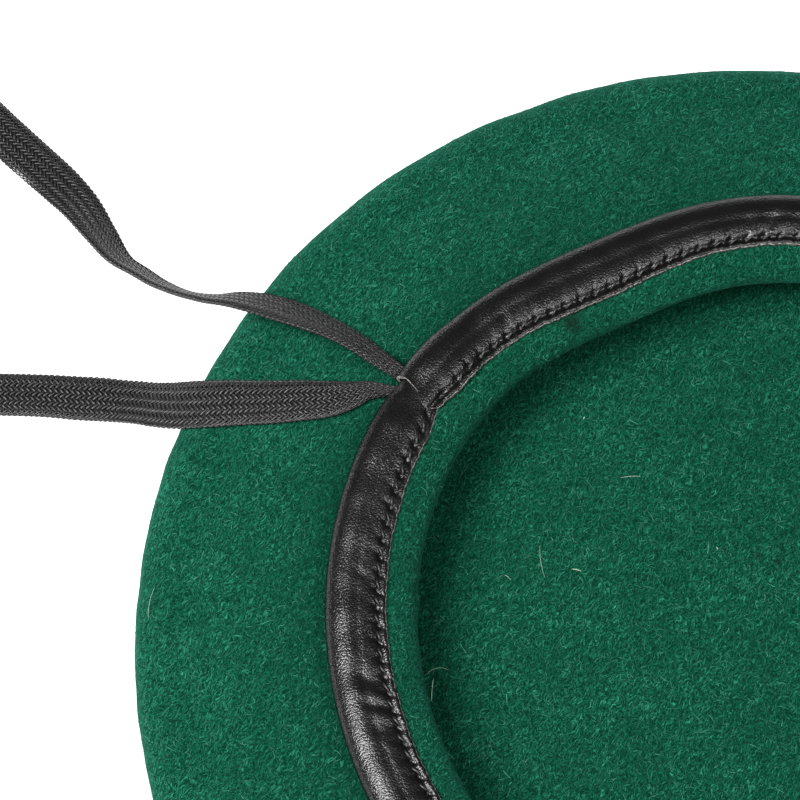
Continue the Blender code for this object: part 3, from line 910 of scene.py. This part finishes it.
class BERET_OT_stitches(bpy.types.Operator):
    """The thread along the leather's cut edge: one short bowed stitch from hole to hole"""

    bl_idname = "beret.stitches"
    bl_label = "Stitches"

    def execute(self, context):
        felt, leather = context.scene.beret_felt, context.scene.beret_leather
        outer, _inner, angle, outer_at, _inner_at = leather_points(felt, leather)
        rng = np.random.default_rng(leather.seed)
        track = outer[:, int(np.argmin(np.abs(outer_at - leather.margin)))]
        pitch = stitch_angle(felt, leather)
        count = int((STITCHED[1] - STITCHED[0]) / pitch) - 1
        first = math.ceil((STITCHED[0] - SEAM) / pitch) + 0.5
        centres = SEAM + (first + np.arange(count)) * pitch + rng.normal(size=count) * 0.05
        share = np.linspace(-0.5, 0.5, 7)
        wanted = centres[:, None] + share * (pitch * SPAN * (1 + rng.normal(size=count) * 0.05))[:, None]
        smooth = np.exp(-np.linspace(-2, 2, 9) ** 2)
        level = np.convolve(np.pad(track[:, 2], 4, mode="edge"), smooth / smooth.sum(), mode="valid")
        track = np.column_stack([track[:, :2], np.maximum(level, track[:, 2])])
        line = np.stack([np.interp(wanted, angle, column) for column in track.T], -1)
        outward = unit(line * np.array([1.0, 1.0, 0.0]))
        lean = LEAN + rng.normal(size=count)[:, None] * 0.0002
        sway = SET_OUT + rng.normal(size=count)[:, None] * 0.00008 - share * lean
        line = line + outward * sway[..., None]
        line[..., 2] += RISE * (1 - (2 * share) ** 2) - DROOP * (2 * np.abs(share)) ** 4
        half = leather.thread / 2 * np.sqrt(1 - (1.7 * share) ** 2 * 0.8).clip(0.45, 1)
        flat, groups = tube(line, UP, half, half * 0.8, THREAD_SIDES)
        tone = np.repeat(rng.random(count), len(share) * THREAD_SIDES)
        finish = yarn_finish("black_thread", context.scene.beret_tones, 2.0)
        uv = weave_map(share * 3, count, THREAD_SIDES)
        add_mesh("edge_stitches", flat, groups, finish, {"tone": tone}, uv)
        return {"FINISHED"}


# ---- Draw cord ----


# Distance between the points of a cord's middle line, and points of a yarn along each wave over and under
CORD_STEP, WAVE_POINTS = 0.0004, 6
# How square a yarn's rise and fall is, how square the braid's section is, and how evenly yarns share its width
WAVE_SQUARE, SECTION_SQUARE, EVEN = 2.2, 2.6, 0.985


def cord_frame(route, before):
    """The cord's middle line through a point inside the casing and its route, and the unit vectors across the
    cord and off its face, leant as the route says. Gives these and the cord's size along it."""
    line = through(np.vstack([before, route]), CORD_STEP)
    centre = line[:, :3]
    run = unit(np.gradient(centre, axis=0))
    level = unit(np.cross(UP, run))
    lean = np.radians(line[:, 3])[:, None]
    across = level * np.cos(lean) + np.cross(run, level) * np.sin(lean)
    return centre, across, np.cross(run, across), line[:, 4]


def braid(route, before, cord, loose, rng):
    """A flattened tubular braid. Half of the yarns wind one way round an oval and half the other. Yarn k of n is at
    the turn k / n + m / 2n or k / n - m / 2n, where m counts the yarns that it has crossed. It rides over two
    yarns and under two: its height off the oval is a rounded square wave of m + 2k. Gives the yarns' lines, up
    vectors, half widths, half heights and tones, and the cord's middle line and length."""
    centre, across, off, size = cord_frame(route, before)
    length = along(centre)[-1]
    crossings = length / cord.pick
    count = int(crossings / 4 * WAVE_POINTS)
    share = np.linspace(0, 1, count)
    grid = np.linspace(0, 1, len(centre))

    def at(values):
        return np.stack([np.interp(share, grid, column) for column in values.T], -1)

    middle, across, off = at(centre), at(across), at(off)
    size = np.interp(share, grid, size)
    half_width = (cord.width / 2 - cord.yarn_thick) * size
    half_thick = (cord.thickness / 2 - cord.yarn_thick * 0.75) * (1 + (1 - size) * cord.gather)
    squeeze = size**0.75
    yarn = np.arange(cord.yarns)[:, None]
    crossed = share * crossings
    parts = []
    for way in (1, -1):
        turn = 2 * np.pi * (yarn / cord.yarns + way * crossed / (2 * cord.yarns))
        flat = np.arcsin(EVEN * np.cos(turn)) / np.arcsin(EVEN)
        lift = np.tanh(SECTION_SQUARE * np.sin(turn)) / np.tanh(SECTION_SQUARE) * (1 - np.abs(flat) ** 6 * 0.25)
        over = 2 * np.pi * (2 * yarn + way * crossed - 0.5) / 4
        wave = np.tanh(WAVE_SQUARE * np.cos(over)) / np.tanh(WAVE_SQUARE) * way
        out = unit(np.stack([np.cos(turn) * np.abs(np.cos(turn)) ** 2, np.sin(turn)], -1))
        up = out[..., :1] * across + out[..., 1:] * off
        line = middle + (flat * half_width)[..., None] * across + (lift * half_thick)[..., None] * off
        line = line + up * (wave * cord.yarn_thick * 0.52)[..., None]
        slack = np.ones(line.shape[:2])
        for x, y, spread, lost in loose:
            slack -= lost * np.exp(-((line[..., 0] - x) ** 2 + (line[..., 1] - y) ** 2) / spread**2)
        wide = cord.yarn_width / 2 * slack * squeeze
        tall = cord.yarn_thick / 2 * np.sqrt(slack) * squeeze**0.3
        parts.append((line, up, wide, tall, np.repeat(rng.random(cord.yarns), count)))
    return *map(np.concatenate, zip(*parts)), centre, length


class BERET_OT_cord_ends(bpy.types.Operator):
    """The two free ends of the flat draw cord, braided yarn by yarn"""

    bl_idname = "beret.cord_ends"
    bl_label = "Cord ends"

    def execute(self, context):
        cord, tones = context.scene.beret_cord, context.scene.beret_tones
        finish = yarn_finish("black_braid_yarn", tones, 1.0)
        for name, node, route, before, loose, seed in (
            ("braid_upper", "cord_end_upper", CORD_END_UPPER, BEFORE_UPPER, LOOSE_UPPER, 3),
            ("braid_lower", "cord_end_lower", CORD_END_LOWER, BEFORE_LOWER, (), 4),
        ):
            rng = np.random.default_rng(seed)
            line, up, wide, tall, tone, centre, length = braid(route, before, cord, loose, rng)
            flat, groups = tube(line, up, wide, tall, YARN_SIDES)
            flat[:, 2] = np.maximum(flat[:, 2], FLOOR_CLEAR)
            stacks, per = line.shape[:2]
            shift = np.repeat(rng.random(stacks) * 50, per * YARN_SIDES)
            uv = weave_map(np.arange(per) * 0.35, stacks, YARN_SIDES, shift)
            made = add_mesh(name, flat, groups, finish, {"tone": np.repeat(tone, YARN_SIDES)}, uv)
            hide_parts(node)
            centre[::8].tolist() + [centre[-1].tolist()]
        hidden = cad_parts["draw_cord"]
        hidden.data.materials.clear()
        hidden.data.materials.append(plain_finish("black_casing_cord", tones.yarn, 0.6, 1600.0))
        return {"FINISHED"}


# ---- Lint ----


# Half the side of the square in which a loose fibre finds the felt under it
LINT_NEAR = 0.0016


def height_at(points, places):
    """The height of the highest of a surface's points in a small square round each place."""
    flat = points.reshape(-1, 3)
    found = []
    for place in places:
        near = (np.abs(flat[:, :2] - place) < LINT_NEAR).all(1)
        found.append(flat[near, 2].max() if near.any() else 0.0)
    return np.array(found)


class BERET_OT_lint(bpy.types.Operator):
    """A few pale fibres lying on the felt"""

    bl_idname = "beret.lint"
    bl_label = "Lint"

    def execute(self, context):
        rows = np.array(LINT)
        steps = np.linspace(-0.5, 0.5, 9)
        direction = np.radians(rows[:, 3])[:, None]
        along_it = steps * rows[:, 2:3]
        bow = rows[:, 4:5] * rows[:, 2:3] * (1 - (2 * steps) ** 2)
        x = rows[:, :1] + along_it * np.cos(direction) - bow * np.sin(direction)
        y = rows[:, 1:2] + along_it * np.sin(direction) + bow * np.cos(direction)
        top = height_at(felt_points(context.scene.beret_felt), rows[:, :2])
        z = top[:, None] + 0.00018 + 0.0002 * (1 - (2 * steps) ** 2)
        half = rows[:, 5:6] / 2 * (1 - (2 * steps) ** 4 * 0.6)
        flat, groups = tube(np.stack([x, y, z], -1), UP, half, half * 0.8, LINT_SIDES)
        finish = plain_finish("pale_lint", context.scene.beret_tones.lint, 0.5)
        add_mesh("lint_fibres", flat, groups, finish)
        return {"FINISHED"}


# ---- Stage ----


def aim(thing, place, target):
    """Puts a thing at a place and turns its -Z towards the target."""
    thing.location = place
    thing.rotation_mode = "QUATERNION"
    thing.rotation_quaternion = (Vector(target) - Vector(place)).to_track_quat("-Z", "Y")


class BERET_OT_stage(bpy.types.Operator):
    """Pale floor, soft studio lights, a light surround and the camera at the beret's usual viewing angle"""

    bl_idname = "beret.stage"
    bl_label = "Stage"

    def execute(self, context):
        scene = context.scene
        stage = scene.beret_stage
        scene.view_settings.view_transform = "Standard"
        data = bpy.data.meshes.new("floor")
        reach = 3.0
        corners = [(-reach, -reach, 0), (reach, -reach, 0), (reach, reach, 0), (-reach, reach, 0)]
        data.from_pydata(corners, [], [(0, 1, 2, 3)])
        finish = Finish("pale_floor")
        finish.surface(
            Base_Color=(0.80, 0.80, 0.80),
            Roughness=0.9,
            Specular_IOR_Level=0.1,
            Emission_Color=(1.0, 1.0, 1.0),
            Emission_Strength=stage.floor_glow,
        )
        data.materials.append(finish.material)
        floor = bpy.data.objects.new("floor", data)
        scene.collection.objects.link(floor)
        world = bpy.data.worlds.new("surround")
        world.use_nodes = True
        back = world.node_tree.nodes["Background"]
        back.inputs["Color"].default_value = (1.0, 1.0, 1.0, 1.0)
        back.inputs["Strength"].default_value = stage.surround
        scene.world = world
        for name, place, size, power in (
            ("window", (-0.418, 0.326, 0.848), (0.42, 0.50), stage.key),
            ("filler", (-0.059, -0.419, 0.906), (0.36, 0.36), stage.fill),
        ):
            lamp = bpy.data.lights.new(name, "AREA")
            lamp.shape, lamp.size, lamp.size_y, lamp.energy = "RECTANGLE", *size, power
            thing = bpy.data.objects.new(name, lamp)
            scene.collection.objects.link(thing)
            aim(thing, place, (0.0, 0.02, 0.01))
        azimuth, elevation = math.radians(stage.azimuth), math.radians(stage.elevation)
        level = math.cos(elevation)
        back_way = Vector((math.sin(azimuth) * level, -math.cos(azimuth) * level, math.sin(elevation)))
        target = Vector(stage.target)
        lens = bpy.data.cameras.new("camera")
        lens.sensor_width, lens.lens = 36.0, stage.lens
        lens.clip_start, lens.clip_end = 0.01, 20.0
        camera = bpy.data.objects.new("camera", lens)
        scene.collection.objects.link(camera)
        aim(camera, target + back_way * stage.distance, target)
        scene.camera = camera
        return {"FINISHED"}


# ---- Settings ----


def metres(name, default, description):
    return bpy.props.FloatProperty(
        name=name, default=default, description=description, min=0.0, precision=5, subtype="DISTANCE", unit="LENGTH"
    )


def number(name, default, description, **limits):
    return bpy.props.FloatProperty(name=name, default=default, description=description, **limits)


def whole(name, default, description, low=0):
    return bpy.props.IntProperty(name=name, default=default, description=description, min=low)


def colour(name, default, description):
    return bpy.props.FloatVectorProperty(
        name=name, default=default, description=description, size=3, min=0.0, max=1.0, subtype="COLOR"
    )


class BeretFelt(bpy.types.PropertyGroup):
    """Sizes of the felt and of the strip that is folded round it."""

    crown_radius: metres("Crown radius", 0.1360, "Widest radius of the rounded rim")
    wall: metres("Felt wall", 0.0022, "Thickness of the felt")
    rim_height: metres("Rim height", 0.0146, "Height at which the rim passes into the flange")
    rim_round: metres("Rim round", 0.0100, "How far the rim's round reaches inwards")
    band_height: metres("Band height", 0.0282, "Top of the leather above the floor")
    binding_radius: metres("Binding radius", 0.0950, "Outer fold of the leather")
    collar_reach: metres("Collar reach", 0.0190, "From the outer fold in to the bare felt lip")
    binding_width: metres("Visible leg", 0.0127, "Leather from its cut edge to the outer fold")
    under_leg: metres("Hidden leg", 0.0105, "Leather between the collar and the flange")
    fold_round: metres("Fold round", 0.0040, "How far the leather's outer fold reaches inwards")
    leather: metres("Leather wall", 0.0011, "Thickness of the leather")
    lap: metres("Lap", 0.0090, "How far one end of the leather covers the other")
    casing_cord: metres("Casing cord", 0.0036, "Width of the cord inside the leather")
    gap: metres("Gap", 0.0003, "Clearance between pieces that touch")
    slack: metres("Slack", 0.0010, "Clearance between the hidden leg and the flange")
    lip_round: metres("Lip round", 0.0013, "How tightly the felt's middle line turns at the lip")
    columns: whole("Columns", 336, "Points round the felt", 48)


class BeretNap(bpy.types.PropertyGroup):
    """How the wool's loose fibres lie."""

    crown_fibres: whole("Crown fibres", 26000, "Fibres inside the crown")
    flange_fibres: whole("Flange fibres", 32000, "Fibres on flange, lip and rim")
    rim_fibres: whole("Rim fibres", 9000, "Fibres that stand along the rim")
    length: metres("Length", 0.0015, "Usual length of a fibre")
    width: metres("Width", 0.00007, "Usual width of a fibre")
    lift: metres("Lift", 0.00022, "How far a fibre stands off the felt")
    curl: number("Curl", 1.2, "How far a fibre turns", min=0.0, subtype="ANGLE")
    seed: whole("Seed", 11, "Picks another scatter")


class BeretLeather(bpy.types.PropertyGroup):
    """Relief of the leather strip."""

    margin: metres("Margin", 0.0017, "From the cut edge to the stitches")
    roll: metres("Roll", 0.0014, "How far the roll stands off the plain fold")
    press: metres("Press", 0.00060, "How far the margin is pressed down")
    groove: metres("Groove", 0.00035, "Depth of the groove under the stitches")
    pucker: metres("Pucker", 0.00011, "Depth of the small folds that each stitch pulls in")
    hole: metres("Hole", 0.00045, "Depth of the dents at the needle holes")
    stitch_slant: number("Stitch slant", 1100.0, "Phase of the folds per metre")
    slant: metres("Slant", 0.00032, "Width of the slanted cut edge seen from above")
    stitch_pitch: metres("Stitch pitch", 0.0037, "Distance between stitches")
    thread: metres("Thread", 0.00060, "Thickness of the thread")
    tip_flat: number("Flat tip", 0.35, "How far the lapping end lies flatter")
    tuck: metres("Tuck", 0.0005, "How far the hidden end is drawn in at its fold")
    end_bow: metres("End bow", 0.0022, "How far the lapping end reaches along the margin")
    rows: whole("Rows", 1600, "Sections of the strip", 90)
    seed: whole("Seed", 5, "Picks other small departures of the stitches")


class BeretCord(bpy.types.PropertyGroup):
    """The flat braided draw cord."""

    width: metres("Cord width", 0.0104, "Width of the flat cord")
    thickness: metres("Cord thickness", 0.0013, "Thickness of the flat cord")
    yarns: whole("Yarns each way", 20, "Yarns that wind one way round", 4)
    pick: metres("Crossing step", 0.00062, "Distance along the cord from one crossing to the next")
    yarn_width: metres("Yarn width", 0.00085, "Width of one flat yarn")
    yarn_thick: metres("Yarn thickness", 0.00034, "Thickness of one flat yarn")
    gather: number("Gather", 1.6, "How much thicker the gathered cord is", min=0.0)


class BeretTones(bpy.types.PropertyGroup):
    """Colours of every finish."""

    felt_base: colour("Felt", (0.004, 0.098, 0.051), "Ground colour of the felt")
    felt_dark: colour("Felt dark", (0.0006, 0.022, 0.011), "Hollows between the fibres")
    felt_light: colour("Felt light", (0.03, 0.275, 0.165), "Fibres that catch the light")
    nap_light: colour("Nap light", (0.062, 0.295, 0.19), "The lightest loose fibres")
    sheen: colour("Felt sheen", (0.1, 0.7, 0.48), "Tint of the felt's soft edge light")
    # This colour is also the painted shadow beside the knots inside the crown
    stain_and_knot_shadow: colour("Stain", (0.006, 0.01, 0.008), "The dark smudge beside the leather")
    leather: colour("Leather", (0.0024, 0.0024, 0.0025), "Grain of the leather")
    leather_dark: colour("Leather dark", (0.0014, 0.0014, 0.0015), "Creases between the grain's pebbles")
    raw: colour("Raw edge", (0.46, 0.43, 0.41), "Cut edge of the leather")
    yarn: colour("Yarn", (0.018, 0.0175, 0.018), "Yarn of the braid")
    yarn_light: colour("Yarn light", (0.036, 0.035, 0.036), "The lightest yarns")
    yarn_dark: colour("Yarn dark", (0.0018, 0.0018, 0.0019), "Between the filaments")
    lint: colour("Lint", (0.34, 0.46, 0.36), "Pale fibres on the felt")


class BeretStage(bpy.types.PropertyGroup):
    """Camera and light."""

    azimuth: number("Azimuth", -58.0, "Degrees round the beret")
    elevation: number("Elevation", 67.0, "Degrees above the horizon")
    distance: metres("Distance", 0.65, "Camera to target")
    lens: number("Lens", 131.6, "Focal length in millimetres", min=10.0)
    target: bpy.props.FloatVectorProperty(
        name="Target", default=(0.00618, 0.09777, 0.0), size=3, subtype="XYZ", description="Where the camera looks"
    )
    key: number("Window", 14.8, "Power of the large soft light", min=0.0)
    fill: number("Filler", 4.6, "Power of the light opposite", min=0.0)
    surround: number("Surround", 0.11, "Light from all round", min=0.0)
    floor_glow: number("Floor glow", 0.80, "Light that the floor gives", min=0.0)


GROUPS = {
    "beret_felt": BeretFelt,
    "beret_nap": BeretNap,
    "beret_leather": BeretLeather,
    "beret_cord": BeretCord,
    "beret_tones": BeretTones,
    "beret_stage": BeretStage,
}
MAKERS = (
    BERET_OT_stage,
    BERET_OT_cord_ends,
    BERET_OT_felt,
    BERET_OT_nap,
    BERET_OT_leather,
    BERET_OT_stitches,
    BERET_OT_lint,
)


class BERET_PT_panel(bpy.types.Panel):
    """Lists the beret's makers and their settings"""

    bl_idname = "BERET_PT_panel"
    bl_label = "Beret"
    bl_space_type = "VIEW_3D"
    bl_region_type = "UI"
    bl_category = "Beret"

    def draw(self, context):
        for maker in MAKERS:
            self.layout.operator(maker.bl_idname)
        for name, group in GROUPS.items():
            box = self.layout.box()
            settings = getattr(context.scene, name)
            for field in group.__annotations__:
                box.prop(settings, field)


CLASSES = (*GROUPS.values(), *MAKERS, BERET_PT_panel)


def register():
    for item in CLASSES:
        bpy.utils.register_class(item)
    for name, group in GROUPS.items():
        setattr(bpy.types.Scene, name, bpy.props.PointerProperty(type=group))


def unregister():
    for name in GROUPS:
        delattr(bpy.types.Scene, name)
    for item in reversed(CLASSES):
        bpy.utils.unregister_class(item)


def main():
    register()
    for maker in MAKERS:
        group, name = maker.bl_idname.split(".")
        getattr(getattr(bpy.ops, group), name)()


if __name__ == "__main__":
    main()
